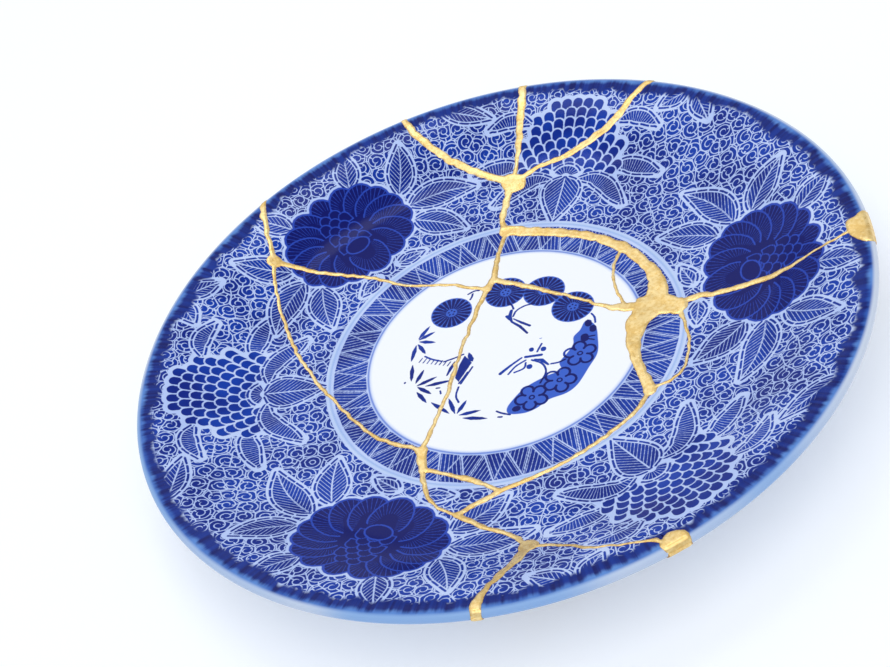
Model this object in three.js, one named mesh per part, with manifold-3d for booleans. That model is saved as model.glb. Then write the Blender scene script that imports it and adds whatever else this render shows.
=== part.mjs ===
// A blue and white porcelain dish that broke into thirteen shards and was mended with gold lacquer.
// Millimetres, +Z up, +Y to the far side. The origin is the middle of the foot ring's resting face.
import * as THREE from "three";
import { mergeVertices } from "three/addons/utils/BufferGeometryUtils.js";
import Module from "manifold-3d";

const wasm = await Module();
wasm.setup();

// Sizes of the dish
const rimDiameter = 270;
const flangeWidth = 16;
const flangeRise = 3.8;
const wallWidth = 25;
const wallRise = 10;
const slopeRise = 5;
const wellRadius = 52;
const floorThickness = 5;
const lipThickness = 3.6;
const footDiameter = 150;
const footHeight = 6.5;
const footWidth = 5;
const footTaper = 1.2;

// Sizes of the repair
const seamProud = 0.3;
const shardGap = 0.3;
const seamStep = 7;

// How finely round forms are divided
const turnSegments = 84;
const knotSides = 12;
const lipSteps = 4;
const curveSteps = { slope: 3, wall: 4, flange: 2 };

const rimRadius = rimDiameter / 2;
const footRadius = footDiameter / 2;
const floorTop = footHeight + floorThickness;

// Where three or more breaks meet: [east, north, width of the gold], places in shares of the rim's radius.
const knots = {
  north: [0.058, 0.672, 8],
  archFoot: [0.027, 0.483, 6],
  east: [0.42, 0.042, 13],
  eastSpur: [0.478, 0.008, 8],
  stemTop: [-0.02, 0.283, 3.5],
  stemBend: [-0.04, 0.25, 3.6],
  west: [-0.667, 0.485, 4],
  centreSouth: [-0.228, -0.324, 4.4],
  bandNorth: [-0.223, -0.396, 3.2],
  bandEast: [-0.024, -0.525, 2.6],
  bandSouth: [-0.128, -0.583, 2.7],
  southEast: [0.378, -0.28, 4.8],
  south: [0.057, -0.756, 7],
  archShoulder: [0.352, 0.3, 5.3],
  chipEast: [1, -0.008, 17],
  chipSouthEast: [0.4, -0.917, 13],
};

// The breaks. Each runs between two knots, or from past the lip, through points of the same three numbers.
const breaks = [
  [[-0.275, 1.01, 2.4], [-0.215, 0.887, 3.7], [-0.138, 0.805, 3.5], [-0.05, 0.738, 3.3], knots.north],
  [[0.14, 1.04, 4.2], [0.123, 0.927, 3.9], [0.093, 0.8, 2.8], [0.08, 0.744, 1.8], knots.north],
  [[0.59, 0.884, 3.2], [0.464, 0.816, 2.8], [0.392, 0.76, 3.5], [0.24, 0.7126, 2.6], [0.146, 0.702, 2.3], knots.north],
  [knots.north, [0.033, 0.602, 3.3], [0.015, 0.51, 3], knots.archFoot],
  [knots.archFoot, [0.174, 0.425, 4.9], [0.263, 0.378, 4.3], knots.archShoulder],
  [knots.archShoulder, [0.397, 0.233, 5.1], [0.425, 0.1585, 5.9], knots.east],
  [knots.archFoot, [0.004, 0.418, 1.9], [-0.008, 0.363, 2.3], knots.stemTop],
  [knots.stemTop, knots.stemBend],
  [knots.stemTop, [0.0955, 0.21, 2.4], [0.218, 0.124, 1.6], [0.282, 0.073, 2.1], [0.34, 0.05, 4.5], knots.east],
  [knots.stemBend, [-0.164, 0.309, 1.6], [-0.267, 0.336, 1.4], [-0.377, 0.396, 1.6], [-0.523, 0.444, 1.9], knots.west],
  [[-0.705, 0.765, 3], [-0.693, 0.664, 2.8], [-0.676, 0.55, 1.9], knots.west],
  [knots.west, [-0.661, 0.374, 1.3], [-0.612, 0.185, 1.5], [-0.5555, 0.0555, 1.5], [-0.449, -0.1185, 1.4],
    [-0.3415, -0.253, 1.7], knots.centreSouth],
  [knots.stemBend, [-0.084, 0.132, 1.9], [-0.121, 0.014, 1.5], [-0.1385, -0.0615, 1.8], [-0.187, -0.221, 1.7],
    knots.centreSouth],
  [knots.centreSouth, knots.bandNorth],
  [knots.bandNorth, [-0.1585, -0.4267, 1.8], [-0.095, -0.464, 3], [-0.05, -0.5, 1.8], knots.bandEast],
  [knots.bandNorth, [-0.2126, -0.4785, 1.7], [-0.179, -0.544, 1.2], knots.bandSouth],
  [knots.bandSouth, knots.bandEast],
  [knots.bandEast, [0.1126, -0.483, 1.9], [0.24, -0.418, 2], [0.335, -0.345, 1.9], knots.southEast],
  [knots.bandSouth, [-0.062, -0.644, 2.3], [0.006, -0.693, 1.9], knots.south],
  [knots.south, [0.014, -0.844, 3.6], [-0.03, -0.92, 2.7], [-0.049, -0.964, 4], [-0.05, -1.04, 4]],
  [knots.south, [0.1585, -0.788, 1.6], [0.211, -0.817, 1.4], [0.272, -0.844, 1], [0.361, -0.86, 2], knots.chipSouthEast],
  [knots.east, [0.365, -0.03, 9], [0.35, -0.13, 4.5], knots.southEast],
  [knots.east, knots.eastSpur],
  [knots.eastSpur, [0.509, 0.019, 3.1], [0.627, 0.004, 2.8], [0.739, -0.008, 2.8], [0.835, -0.01, 1.2], knots.chipEast],
  [knots.eastSpur, [0.489, -0.047, 1.4], [0.493, -0.15, 1.2], [0.455, -0.25, 1.2], knots.southEast],
  [knots.archShoulder, [0.3215, 0.213, 1.2], [0.322, 0.124, 1.2], [0.345, 0.05, 4]],
];

// The shards, each with a point that lies on it.
const shardPlaces = {
  shard_rim_north_left: [-0.08, 0.88],
  shard_rim_north_right: [0.28, 0.85],
  shard_wall_north_east: [0.7, 0.45],
  shard_wall_south_east: [0.65, -0.4],
  shard_rim_south: [0.15, -0.9],
  shard_wall_south_west: [-0.6, -0.5],
  shard_wall_north_west: [-0.3, 0.65],
  shard_well_west: [-0.35, 0.1],
  shard_well_north: [0.2, 0.28],
  shard_well_sliver: [0.365, 0.17],
  shard_well_centre: [0.1, -0.15],
  shard_well_east: [0.42, -0.15],
  shard_band_triangle: [-0.15, -0.5],
};

const porcelain = new THREE.MeshStandardMaterial({ color: 0x4a68b8, roughness: 0.18, metalness: 0 });
const goldLacquer = new THREE.MeshStandardMaterial({ color: 0xd9b25f, roughness: 0.32, metalness: 1 });

function solidFrom(geometry) {
  geometry.deleteAttribute("normal");
  geometry.deleteAttribute("uv");
  const merged = mergeVertices(geometry, 1e-4);
  const corners = merged.index.array;
  const triangles = [];
  for (let i = 0; i < corners.length; i += 3) {
    const [a, b, c] = corners.slice(i, i + 3);
    if (a !== b && b !== c && c !== a) triangles.push(a, b, c);
  }
  return new wasm.Manifold(new wasm.Mesh({
    numProp: 3,
    vertProperties: new Float32Array(merged.attributes.position.array),
    triVerts: new Uint32Array(triangles),
  }));
}

function geometryFrom(solid) {
  const mesh = solid.getMesh();
  const geometry = new THREE.BufferGeometry();
  geometry.setAttribute("position", new THREE.BufferAttribute(new Float32Array(mesh.vertProperties), 3));
  geometry.setIndex(new THREE.BufferAttribute(new Uint32Array(mesh.triVerts), 1));
  geometry.computeVertexNormals();
  return geometry;
}

// Points [radius, height] of one stretch of the upper face, from the start's slope to the end's slope.
function stretch(start, end, steps) {
  const run = end.radius - start.radius;
  return Array.from({ length: steps }, (_, i) => {
    const t = (i + 1) / steps;
    const blend = t * t * (3 - 2 * t);
    const height = THREE.MathUtils.lerp(start.height, end.height, blend)
      + run * (start.slope * t * (1 - t) ** 2 - end.slope * t * t * (1 - t));
    return [start.radius + run * t, height];
  });
}

// The upper face from the middle to the lip: flat well, gentle slope, steeper wall, flat flange.
function upperFace() {
  const well = { radius: wellRadius, height: floorTop, slope: 0 };
  const shoulderRadius = rimRadius - flangeWidth - wallWidth;
  const shoulder = { radius: shoulderRadius, height: floorTop + slopeRise, slope: wallRise / wallWidth / 2 };
  const brim = { radius: rimRadius - flangeWidth, height: shoulder.height + wallRise, slope: wallRise / wallWidth };
  const lip = { radius: rimRadius - lipThickness / 2, height: brim.height + flangeRise, slope: 0.1 };
  return [
    [0, well.height],
    [well.radius, well.height],
    ...stretch(well, shoulder, curveSteps.slope),
    ...stretch(shoulder, brim, curveSteps.wall),
    ...stretch(brim, lip, curveSteps.flange),
  ];
}

// The lower face outside the foot ring follows the upper face, and thins from the floor to the lip.
function lowerFace(upper) {
  return upper.filter(([radius]) => radius > footRadius).map(([radius, height]) => {
    const outward = (radius - footRadius) / (rimRadius - footRadius);
    return [radius, height - THREE.MathUtils.lerp(floorThickness, lipThickness, outward)];
  });
}

function heightAt(face, radius) {
  const next = face.findIndex((point) => point[0] >= radius);
  const [r0, h0] = face[next - 1];
  const [r1, h1] = face[next];
  return THREE.MathUtils.mapLinear(radius, r0, r1, h0, h1);
}

// The whole dish turned from its half section. Standing proud moves both faces and the lip outward,
// and holds back from the resting face, which only the porcelain touches.
function dish(proud) {
  const upper = upperFace();
  const lower = lowerFace(upper);
  const underFoot = heightAt(upper, footRadius) - floorThickness;
  const [lipCentre, lipHeight] = upper.at(-1);
  const lipRound = lipThickness / 2 + proud;
  const lip = Array.from({ length: lipSteps - 1 }, (_, i) => {
    const angle = ((i + 1) / lipSteps - 0.5) * Math.PI;
    return [lipCentre + lipRound * Math.cos(angle), lipHeight - lipThickness / 2 + lipRound * Math.sin(angle)];
  });
  const section = [
    [0, footHeight - proud],
    [footRadius - footWidth, footHeight - proud],
    [footRadius - footWidth + footTaper - proud, proud],
    [footRadius - footTaper + proud, proud],
    [footRadius + proud, underFoot - proud],
    ...lower.map(([radius, height]) => [radius, height - proud]),
    ...lip,
    ...upper.reverse().map(([radius, height]) => [radius, height + proud]),
  ];
  const lathe = new THREE.LatheGeometry(section.map(([radius, height]) => new THREE.Vector2(radius, height)), turnSegments);
  return solidFrom(lathe.rotateX(Math.PI / 2));
}

// A prism over a plan outline, tall enough to pass through the whole dish.
function prism(outline) {
  const below = 10;
  const above = 20;
  const depth = below + floorTop + slopeRise + wallRise + flangeRise + above;
  const geometry = new THREE.ExtrudeGeometry(new THREE.Shape(outline), { depth, bevelEnabled: false });
  return solidFrom(geometry.translate(0, 0, -below));
}

// One break as a ribbon in plan. The curve's third coordinate carries the width of the gold,
// and a margin widens the ribbon and both its ends.
function ribbon(route, margin) {
  const points = route.map(([x, y, width]) => new THREE.Vector3(x * rimRadius, y * rimRadius, width));
  const curve = new THREE.CatmullRomCurve3(points, false, "centripetal");
  const steps = Math.max(2, Math.round(curve.getLength() / seamStep));
  const left = [];
  const right = [];
  for (let i = 0; i <= steps; i += 1) {
    const t = i / steps;
    const along = curve.getTangentAt(t).setZ(0).normalize();
    const endReach = margin * (Number(i === steps) - Number(i === 0));
    const middle = curve.getPointAt(t).addScaledVector(along, endReach);
    const half = middle.z / 2 + margin;
    left.push(new THREE.Vector2(middle.x - along.y * half, middle.y + along.x * half));
    right.unshift(new THREE.Vector2(middle.x + along.y * half, middle.y - along.x * half));
  }
  return prism([...right, ...left]);
}

// A knot where breaks meet, or the gold that fills a chip out of the lip.
function knot([x, y, width], margin) {
  const shape = new THREE.Shape().absarc(x * rimRadius, y * rimRadius, width / 2 + margin, 0, 2 * Math.PI);
  return prism(shape.getPoints(knotSides / 2));
}

function breakNetwork(margin) {
  const ribbons = breaks.map((route) => ribbon(route, margin));
  const rounds = Object.values(knots).map((place) => knot(place, margin));
  return wasm.Manifold.union([...ribbons, ...rounds]);
}

// A thin post through the dish at a shard's point, which tells the shards apart.
function post([x, y]) {
  const reach = 0.5;
  const corners = [[-reach, -reach], [reach, -reach], [reach, reach], [-reach, reach]];
  return prism(corners.map(([dx, dy]) => new THREE.Vector2(x * rimRadius + dx, y * rimRadius + dy)));
}

function meshOf(name, solid, material) {
  const mesh = new THREE.Mesh(geometryFrom(solid), material);
  mesh.name = name;
  return mesh;
}

const kintsugiDish = new THREE.Group();
const fragments = dish(0).subtract(breakNetwork(shardGap)).decompose();
for (const [name, place] of Object.entries(shardPlaces)) {
  const marker = post(place);
  const shard = fragments.find((fragment) => !fragment.intersect(marker).isEmpty());
  kintsugiDish.add(meshOf(name, shard, porcelain));
}
kintsugiDish.add(meshOf("gold_seam", dish(seamProud).intersect(breakNetwork(0)), goldLacquer));

export default kintsugiDish;
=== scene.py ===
import math
import random

import bpy
import numpy as np
from mathutils import Matrix, Vector
from mathutils.bvhtree import BVHTree
from mathutils.geometry import delaunay_2d_cdt


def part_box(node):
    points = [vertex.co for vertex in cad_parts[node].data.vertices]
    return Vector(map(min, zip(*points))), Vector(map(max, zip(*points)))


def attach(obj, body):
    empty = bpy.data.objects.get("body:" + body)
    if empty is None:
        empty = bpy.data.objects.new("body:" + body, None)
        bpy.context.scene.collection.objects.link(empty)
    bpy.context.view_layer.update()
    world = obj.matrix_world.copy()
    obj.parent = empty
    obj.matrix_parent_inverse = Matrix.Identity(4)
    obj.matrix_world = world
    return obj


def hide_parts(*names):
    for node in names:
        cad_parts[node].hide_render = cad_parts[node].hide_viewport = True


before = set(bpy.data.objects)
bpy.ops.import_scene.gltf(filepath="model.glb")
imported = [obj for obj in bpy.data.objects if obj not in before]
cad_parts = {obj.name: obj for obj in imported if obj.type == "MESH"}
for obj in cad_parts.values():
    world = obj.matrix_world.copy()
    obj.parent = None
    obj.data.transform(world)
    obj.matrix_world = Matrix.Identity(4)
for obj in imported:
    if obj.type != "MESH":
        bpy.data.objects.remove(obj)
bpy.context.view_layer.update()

# Sizes in millimetres. The frame gives what it can.
MM = 0.001
SHARDS = [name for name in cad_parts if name.startswith("shard_")]
RIM_RADIUS = -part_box("shard_wall_south_west")[0][0] / MM
FLOOR_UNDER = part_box("shard_well_north")[0][2] / MM
FLOOR_THICKNESS = 5.0
FLOOR_TOP = FLOOR_UNDER + FLOOR_THICKNESS
WELL_RADIUS = 52.0
FLANGE_WIDTH = 16.0
FLANGE_RISE = 4.3
WALL_WIDTH = 25.0
WALL_RISE = 10.8
SLOPE_RISE = 5.0
LIP_THICKNESS = 3.6
LIP_ROUND = LIP_THICKNESS / 2
LIP_CENTRE = RIM_RADIUS - LIP_ROUND
LIP_SLOPE = 0.1
FOOT_RADIUS = 75.0
FOOT_WIDTH = 5.0
FOOT_TAPER = 1.5
FOOT_ROUND = 0.8
FOOT_REST = 0.08
BARE_INSET = 1.1
RIDGE_HEIGHT = 0.18
RIDGE_WIDTH = 0.9

# Places in the printed pattern, in millimetres from the middle
CENTRE_EDGE = 51.4
BAND_INNER = 52.4
BAND_OUTER = 65.5
RING_MIDDLE = 66.9
GROUND_INNER = 68.2
GROUND_OUTER = 129.0

# The radii between which the rim's colour changes: to dark glaze, to thinner glaze, to the worn lip,
# and on the lower face from its plain glaze to the lip
DARK_GLAZE = (129.2, 131.4)
THIN_GLAZE = (131.4, 133.6)
WORN_LIP = (132.6, 134.2)
LIP_BELOW = (134.2, 134.9)

# How finely the dish is divided
RING_STEP = 0.5
FINE_STEP = 0.3
FINE_RADIUS = 42.0
HALF_RADIUS = 67.5
RIM_SECTORS = 1600
LIP_GRID = 131.0
LIP_STEPS = (3.4, 2.8, 2.2, 1.8, 1.4, 1.0, 0.65, 0.35, 0.12, 0.0)
UNDER_STEP = 6.0
FOOT_MARGIN = 1.5

# How far a shard's edge may move inward and outward to reach the middle of its seam, and how far
# from the middle it stays. The seam is looked for at half the wall's depth.
EDGE_SHIFT = (-0.5, 0.9)
GLUE_LINE = 0.12
HALF_WALL = 1.8

# The depth that stands for a place far outside every shape
FAR_OUTSIDE = -3.0


def waves(x, y, length, seed):
    """Gentle irregular waves between about -1 and 1, the same on each run."""
    chance = random.Random(seed)
    total = np.zeros_like(x)
    for _ in range(6):
        angle = chance.uniform(0, 2 * math.pi)
        pitch = length * chance.uniform(0.6, 1.6)
        shift = chance.uniform(0, 2 * math.pi)
        total += np.sin((x * math.cos(angle) + y * math.sin(angle)) * 2 * math.pi / pitch + shift)
    return total / 3.0


# The dish's half section

def stretch(radius, start, end):
    """Height along one stretch of the upper face. Each end is (radius, height, slope)."""
    run = end[0] - start[0]
    t = np.clip((radius - start[0]) / run, 0.0, 1.0)
    blend = t * t * (3 - 2 * t)
    bend = start[2] * t * (1 - t) ** 2 - end[2] * t * t * (1 - t)
    return start[1] + (end[1] - start[1]) * blend + run * bend


SHOULDER_RADIUS = RIM_RADIUS - FLANGE_WIDTH - WALL_WIDTH
WALL_SLOPE = WALL_RISE / WALL_WIDTH
WELL_END = (WELL_RADIUS, FLOOR_TOP, 0.0)
SHOULDER = (SHOULDER_RADIUS, FLOOR_TOP + SLOPE_RISE, WALL_SLOPE / 2)
BRIM = (RIM_RADIUS - FLANGE_WIDTH, SHOULDER[1] + WALL_RISE, WALL_SLOPE)
LIP_START = (LIP_CENTRE, BRIM[1] + FLANGE_RISE, LIP_SLOPE)


def lip_drop(radius):
    """How far the rounded lip has fallen away from the face at a radius."""
    past = np.clip((radius - LIP_CENTRE) / LIP_ROUND, 0.0, 1.0)
    return LIP_ROUND * (1.0 - np.sqrt(1.0 - past * past))


def upper_height(radius):
    """The glazed upper face, with the low ridge under the pale ring and the rounded lip."""
    radius = np.asarray(radius, float)
    height = stretch(radius, WELL_END, SHOULDER)
    height = np.where(radius < SHOULDER[0], height, stretch(radius, SHOULDER, BRIM))
    height = np.where(radius > BRIM[0], stretch(radius, BRIM, LIP_START), height)
    height = height + RIDGE_HEIGHT * np.exp(-((radius - RING_MIDDLE) / RIDGE_WIDTH) ** 2)
    return height - lip_drop(radius)


def foot_profile():
    """The floor's lower face and the foot ring, as pairs of radius and height."""
    inside = FOOT_RADIUS - FOOT_WIDTH
    joint = float(upper_height(FOOT_RADIUS)) - FLOOR_THICKNESS
    return [
        (0, FLOOR_UNDER), (inside - 0.5, FLOOR_UNDER), (inside + 0.1, FLOOR_UNDER - 0.5),
        (inside + FOOT_ROUND, 0.6), (inside + FOOT_TAPER, FOOT_REST),
        (FOOT_RADIUS - FOOT_TAPER, FOOT_REST), (FOOT_RADIUS - FOOT_ROUND, 0.5),
        (FOOT_RADIUS - 0.2, joint - 0.7), (FOOT_RADIUS + FOOT_ROUND, joint + 0.1),
    ]


def under_height(radius):
    """The lower face with its foot ring. Its outer part follows the upper face."""
    radius = np.asarray(radius, float)
    outward = np.clip((radius - FOOT_RADIUS) / (RIM_RADIUS - FOOT_RADIUS), 0.0, 1.0)
    thickness = FLOOR_THICKNESS + (LIP_THICKNESS - FLOOR_THICKNESS) * outward
    outer = upper_height(np.minimum(radius, LIP_CENTRE)) - thickness + lip_drop(radius)
    return np.where(radius > FOOT_RADIUS + FOOT_ROUND, outer, np.interp(radius, *zip(*foot_profile())))


# The breaks, close to the solid model's: places in shares of the rim's radius, with the seam's width in
# millimetres as the third number. A knot is a round place where seams meet or fill a chip.
KNOTS = {
    "north": (0.06, 0.668, 10), "arch_foot": (0.027, 0.483, 6), "east": (0.42, 0.042, 12.5),
    "east_spur": (0.478, 0.008, 8), "stem_top": (-0.02, 0.283, 3.5), "stem_bend": (-0.04, 0.25, 3.6),
    "west": (-0.667, 0.485, 5.5), "centre_south": (-0.228, -0.324, 4.4),
    "band_north": (-0.223, -0.396, 3.2), "band_east": (-0.024, -0.525, 2.6),
    "band_south": (-0.128, -0.583, 2.7), "south_east": (0.378, -0.28, 4.8), "south": (0.057, -0.756, 7),
    "arch_shoulder": (0.352, 0.3, 5.3), "chip_east": (1, -0.008, 17), "chip_south_east": (0.404, -0.9, 9.5),
}
BREAKS = [
    [(-0.275, 1.01, 2.4), (-0.215, 0.887, 3.7), (-0.138, 0.805, 3.5), (-0.05, 0.738, 3.3), "north"],
    [(0.14, 1.04, 4.2), (0.123, 0.927, 3.9), (0.093, 0.8, 2.8), (0.08, 0.744, 1.8), "north"],
    [(0.59, 0.884, 3.2), (0.464, 0.816, 2.8), (0.392, 0.76, 3.5), (0.24, 0.7126, 2.6), (0.146, 0.702, 2.3),
     "north"],
    ["north", (0.033, 0.602, 3.3), (0.015, 0.51, 3), "arch_foot"],
    ["arch_foot", (0.174, 0.425, 4.9), (0.263, 0.378, 4.3), "arch_shoulder"],
    ["arch_shoulder", (0.397, 0.233, 5.1), (0.43, 0.1585, 5.8), (0.436, 0.1, 8), "east"],
    ["arch_foot", (0.004, 0.418, 1.9), (-0.008, 0.363, 2.3), "stem_top"],
    ["stem_top", "stem_bend"],
    ["stem_top", (0.0955, 0.21, 2.4), (0.218, 0.124, 1.6), (0.282, 0.073, 2.1), (0.34, 0.05, 4.5), "east"],
    ["stem_bend", (-0.164, 0.309, 1.6), (-0.267, 0.336, 1.4), (-0.377, 0.396, 1.6), (-0.523, 0.444, 1.9),
     "west"],
    [(-0.705, 0.765, 3), (-0.693, 0.664, 2.8), (-0.676, 0.55, 1.9), "west"],
    ["west", (-0.661, 0.374, 1.3), (-0.612, 0.185, 1.5), (-0.5555, 0.0555, 1.5), (-0.449, -0.1185, 1.4),
     (-0.3415, -0.253, 1.7), "centre_south"],
    ["stem_bend", (-0.084, 0.132, 1.9), (-0.121, 0.014, 1.5), (-0.1385, -0.0615, 1.8), (-0.187, -0.221, 1.7),
     "centre_south"],
    ["centre_south", "band_north"],
    ["band_north", (-0.1585, -0.4267, 1.8), (-0.095, -0.464, 3), (-0.05, -0.5, 1.8), "band_east"],
    ["band_north", (-0.2126, -0.4785, 1.7), (-0.179, -0.544, 1.2), "band_south"],
    ["band_south", "band_east"],
    ["band_east", (0.1126, -0.483, 1.9), (0.24, -0.418, 2), (0.335, -0.345, 1.9), "south_east"],
    ["band_south", (-0.062, -0.644, 2.3), (0.006, -0.693, 1.9), "south"],
    ["south", (0.014, -0.844, 3.6), (-0.03, -0.92, 2.7), (-0.049, -0.964, 4), (-0.05, -1.04, 4)],
    ["south", (0.15, -0.8, 1.6), (0.206, -0.838, 1.4), (0.273, -0.862, 1.1), (0.345, -0.879, 1.6),
     "chip_south_east"],
    ["east", (0.365, -0.03, 9), (0.35, -0.13, 4.5), "south_east"],
    ["east", "east_spur"],
    ["east_spur", (0.509, 0.019, 3.1), (0.627, 0.004, 2.8), (0.739, -0.008, 2.8), (0.835, -0.01, 1.2),
     "chip_east"],
    ["east_spur", (0.489, -0.047, 1.4), (0.493, -0.15, 1.2), (0.455, -0.25, 1.2), "south_east"],
    ["arch_shoulder", (0.3215, 0.213, 1.2), (0.322, 0.124, 1.2), (0.345, 0.05, 4)],
]

# The printed motifs. Places on the wall are (u, v) in millimetres from the motif's middle, v outward.
# A motif's list gives one side, and its drawing mirrors it.
HATCH = 1.25
HATCH_SHARE = 0.87
MOTIF_RADIUS = 99.9
PEONY_RADIUS = 97.2
CLOUD_ANGLES = (71.2, 181.6, 302.0)
PEONY_ANGLES = (128.2, 241.9, 3.9)
SCALE_ROWS = (10.5, 15.5, 18.5, 20, 20.9, 20.9, 20, 18)
SCALE_SPACING = 4.65
SCALE_RISE = 4.1
SCALE_TOP = 22.8
SCALE_ARCH = 35.0
OUTER_PLUME = [(18, 14), (24, 16.8), (30, 15.8), (36.5, 10)]
MIDDLE_PLUME = [(18, -4.5), (25, -2.5), (33, -4.5), (40, -9.5)]
INNER_PLUME = [(5, -9.7), (12.5, -8.3), (19.5, -11.5), (24, -17.5), (27.5, -24)]
CAP_MIDDLE = -9.2
PEONY_LEAVES = [
    ((15, 17), (24, 31), 8, 0), ((5, -25), (16, -28), 5, 0), ((28, 2), (43, 18), 9.5, -1),
    ((27.5, -5), (52, -19.5), 10.5, 2.2), ((24, -12), (34.5, -32.5), 10.5, 1),
]
PEONY_LOBES = [
    (0, 13, 0, 5.8, 8.4), (8.4, 12, 22, 6.2, 8.4), (13.2, 8.4, 44, 7, 9.7), (15.8, 4.4, 62, 7, 10.1),
    (16.7, 0, 80, 7, 10.5), (15.8, -4.4, 100, 7, 11), (12.8, -8, 125, 7.5, 10.5), (7, -10, 152, 7.5, 10.5),
    (0, -11, 180, 7.5, 11),
]

# Leaves near the rim beside a cloud, which are not mirrored
RIM_LEAVES = [((46, 23), (35, 17), 6.5), ((50, 21), (57, 8), 7), ((-58, 17), (-36, 15), 7)]

# The ring of triangles and the small curls of the ground
TRIANGLES = 40
SCROLL_CELL = 6.1
SCROLL_PITCH = 1.72
SCROLL_STROKE = 1.36
SCROLL_DOT = 0.74
SCROLL_CUT = 0.22
SCROLL_BORDER = 0.2

# The plants in the middle. Their places are counted in small steps to the right and down, and the
# round's middle lies as many steps from both edges.
PLANT_STEP = 0.0736
PLANT_MIDDLE = 550
ROSETTES = [(285, 215), (575, 150), (775, 205), (915, 370)]
ROSETTE_RADIUS = 7.0
BLOSSOMS = [((930, 715), 6.2, 0.3), ((820, 868), 6.3, 1.1), ((680, 945), 6.3, 0.7)]
GARLAND = [
    (985, 485), (1020, 545), (1025, 640), (1015, 740), (970, 820), (900, 930), (850, 965), (760, 985),
    (700, 1025), (640, 1040), (560, 1020), (555, 985), (590, 930), (650, 870), (760, 820), (830, 800),
    (825, 750), (870, 690), (900, 640), (905, 590), (940, 550), (965, 500),
]
BAMBOO = [
    ((110, 360), (170, 280)), ((112, 368), (197, 332)), ((115, 382), (200, 412)), ((108, 400), (148, 482)),
    ((98, 405), (72, 518)), ((80, 545), (75, 662)), ((98, 680), (140, 595)), ((105, 700), (208, 665)),
    ((150, 715), (285, 712)), ((108, 710), (180, 778)), ((105, 745), (155, 832)), ((180, 838), (272, 940)),
    ((298, 945), (268, 835)), ((310, 948), (358, 872)), ((320, 963), (427, 960)), ((338, 988), (460, 1024)),
]
TWIGS = [
    [(590, 235), (605, 262), (612, 290)], [(720, 283), (670, 285), (625, 310), (608, 345)],
    [(375, 100), (410, 85), (435, 88)], [(400, 105), (395, 125), (385, 145)],
    [(145, 500), (180, 530), (230, 560)], [(245, 568), (300, 558), (345, 545)],
    [(390, 650), (360, 700), (330, 750)], [(365, 680), (345, 712), (320, 745)],
    [(318, 770), (305, 830), (318, 875)], [(720, 640), (732, 615), (745, 590)],
    [(1005, 450), (1018, 480), (1020, 520)], [(600, 752), (650, 735), (660, 700)],
    [(690, 690), (740, 730), (757, 790), (725, 860)], [(785, 745), (820, 746), (855, 735)],
    [(505, 990), (535, 1012), (570, 1030)], [(570, 755), (610, 710), (660, 683)],
]
BOLD = [
    ([(600, 300), (590, 345), (600, 385), (640, 430), (675, 490)], (1.3, 1.6, 0.9, 1.2, 0.9)),
    ([(610, 365), (650, 405), (690, 440)], (0.6, 1.1, 1.1)), ([(575, 335), (590, 360)], 1.3),
    ([(300, 585), (280, 625), (260, 670)], (0.5, 1.5, 0.7)),
    ([(530, 740), (580, 700), (640, 660)], (1.4, 1.1, 0.8)), ([(660, 660), (700, 664), (740, 668)], 1.2),
    ([(705, 690), (740, 705), (770, 745)], (0.7, 1.5, 0.9)),
    ([(677, 731), (677, 735)], 2.2), ([(692, 615), (692, 619)], 1.9), ([(752, 628), (752, 632)], 2.1),
    ([(985, 508), (985, 522)], 2.6), ([(1005, 553), (1005, 567)], 2.6), ([(960, 605), (960, 620)], 3.0),
    ([(598, 1000), (606, 1000)], 2.6), ([(42, 659), (42, 661)], 0.9), ([(975, 625), (1005, 640)], 0.7),
    ([(980, 610), (1010, 612)], 0.7), ([(512, 1030), (530, 1034)], 0.8), ([(205, 745), (222, 748)], 0.7),
    ([(225, 770), (228, 790)], 0.7),
]
SOLIDS = [
    [(352, 555), (388, 618), (318, 735), (300, 700), (325, 610)],
    [(372, 535), (388, 560), (399, 590), (394, 612), (376, 602), (366, 570)],
]

# Gold. SEAM_SHARE is how much of a break's width the gold covers, and KNOT_FLARE how much wider than
# its nearest place a break may be where it meets a knot.
GOLD_STEP = 0.4
GOLD_PROUD = 0.05
GOLD_PAST_RIM = 0.3
GOLD_REACH = 0.35
CRACK_STEP = 2.5
ROUTE_STEP = 1.2
ROUTE_PART = 6
SEAM_MARGIN = 3.5
GRID_MARGIN = 3
CRACK_SEED = 40
CRACK_WANDER = 0.22
WIDTH_WANDER = 0.07
KNOT_WANDER = 0.06
CORNER_REACH = 0.9
CORNER_LIMIT = -1.2
CORNER_FILL = 0.12
BEAD_HEIGHT = 0.3
BEAD_SHOULDER = 0.6
BEAD_WAVES = 0.3
WAVE_LENGTH = 6.0
KNOT_FLARE = 1.3
SEAM_SHARE = 0.88


# Lines and directions

def curve_points(controls, step):
    """Points along a Catmull-Rom curve through the controls, ends included, about a step apart."""
    controls = np.asarray(controls, float)
    ends = np.concatenate([[2 * controls[0] - controls[1]], controls, [2 * controls[-1] - controls[-2]]])
    points = [controls[0]]
    for i in range(len(controls) - 1):
        p0, p1, p2, p3 = ends[i:i + 4]
        k0 = max(np.linalg.norm((p1 - p0)[:2]), 1e-6) ** 0.5
        k1 = max(np.linalg.norm((p2 - p1)[:2]), 1e-6) ** 0.5
        k2 = max(np.linalg.norm((p3 - p2)[:2]), 1e-6) ** 0.5
        m1 = (p2 - p1) + k1 * ((p1 - p0) / k0 - (p2 - p0) / (k0 + k1))
        m2 = (p2 - p1) + k1 * ((p3 - p2) / k2 - (p3 - p1) / (k1 + k2))
        count = max(2, int(np.linalg.norm((p2 - p1)[:2]) / step) + 1)
        for t in (np.arange(count) + 1) / count:
            a, b = 2 * (p1 - p2) + m1 + m2, -3 * (p1 - p2) - 2 * m1 - m2
            points.append(((a * t + b) * t + m1) * t + p1)
    return np.array(points)


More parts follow.
